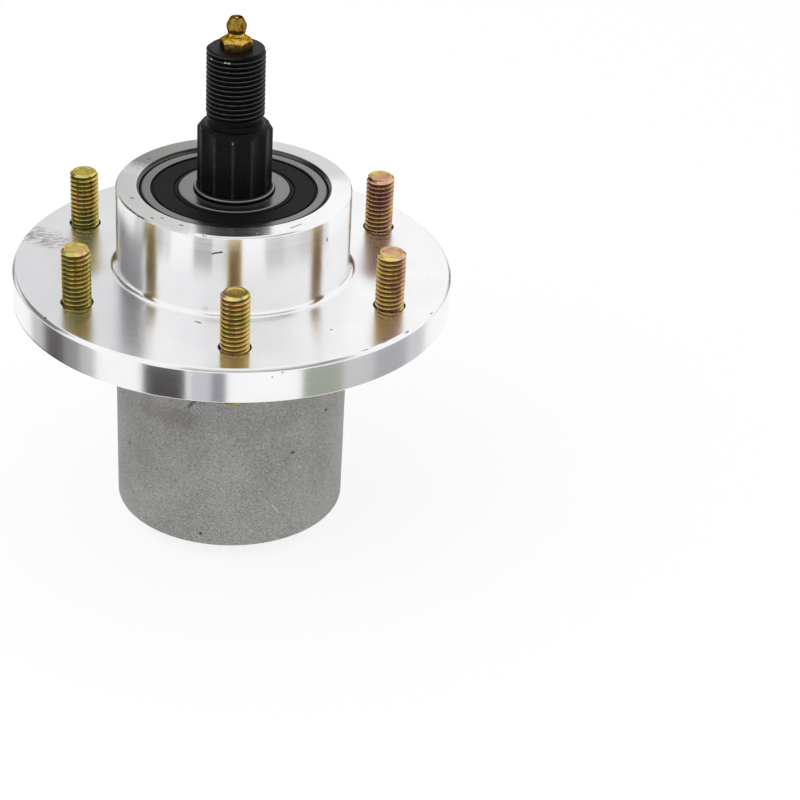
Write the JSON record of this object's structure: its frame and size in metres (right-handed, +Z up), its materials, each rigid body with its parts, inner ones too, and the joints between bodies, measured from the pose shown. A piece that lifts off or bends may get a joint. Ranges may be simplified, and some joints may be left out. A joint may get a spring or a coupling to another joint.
{
  "type": "mower deck spindle",
  "caption": "Flanged aluminium spindle housing with deck studs and a fluted, threaded steel shaft on two sealed ball bearings; carries a mower blade below and a drive pulley above.",
  "frame": {"origin": "on the shaft axis at the flange's upper face, which seats under the mower deck", "axes": "+Z up the shaft towards the pulley thread; -Y towards the front stud"},
  "size_m": [0.146, 0.146, 0.182],
  "materials": {
    "housing_aluminium": "turned bright on hub and flange, as cast on the barrel",
    "black_steel": "black oxide on turned steel",
    "spacer_steel": "plain drawn tube",
    "yellow_zinc": "yellow chromated zinc on steel",
    "fitting_zinc": "yellow chromated zinc on steel",
    "bearing_steel": "ground bearing steel",
    "ball_steel": "polished bearing steel",
    "cage_steel": "pressed sheet steel",
    "spring_steel": "drawn spring wire",
    "seal_rubber": "moulded nitrile rubber"
  },
  "bodies": {
    "housing": {"spindle_housing": "housing_aluminium", "mounting_studs": "yellow_zinc", "upper_outer_ring": "bearing_steel", "upper_seal_top": "seal_rubber", "upper_seal_bottom": "seal_rubber", "lower_outer_ring": "bearing_steel", "lower_seal_top": "seal_rubber", "lower_seal_bottom": "seal_rubber"},
    "shaft": {"spindle_shaft": "black_steel", "upper_inner_ring": "bearing_steel", "lower_inner_ring": "bearing_steel", "bearing_spacer": "spacer_steel", "grease_fitting_body": "fitting_zinc", "grease_spring": "spring_steel", "retaining_ring": "spring_steel"},
    "upper_ball_set": {"upper_balls": "ball_steel", "upper_cage_top": "cage_steel", "upper_cage_bottom": "cage_steel", "upper_cage_rivets": "cage_steel"},
    "lower_ball_set": {"lower_balls": "ball_steel", "lower_cage_top": "cage_steel", "lower_cage_bottom": "cage_steel", "lower_cage_rivets": "cage_steel"},
    "check_ball": {"grease_check_ball": "ball_steel"}
  },
  "joints": [
    {"name": "shaft_spin", "type": "hinge", "parent": "housing", "child": "shaft", "pos_m": [0, 0, 0], "axis": [0, 0, 1], "continuous": true},
    {"name": "upper_ball_orbit", "type": "hinge", "parent": "housing", "child": "upper_ball_set", "pos_m": [0, 0, 0], "axis": [0, 0, 1], "continuous": true},
    {"name": "lower_ball_orbit", "type": "hinge", "parent": "housing", "child": "lower_ball_set", "pos_m": [0, 0, 0], "axis": [0, 0, 1], "continuous": true},
    {"name": "check_ball_press", "type": "slide", "parent": "shaft", "child": "check_ball", "axis": [0, 0, -1], "range_m": [0, 0.0008], "stiffness_N_per_m": 400, "springref_m": -0.001, "deforming": ["grease_spring"]}
  ],
  "couplings": [
    {"joint": "upper_ball_orbit", "follows": "shaft_spin", "ratio": 0.36782},
    {"joint": "lower_ball_orbit", "follows": "shaft_spin", "ratio": 0.36782}
  ]
}
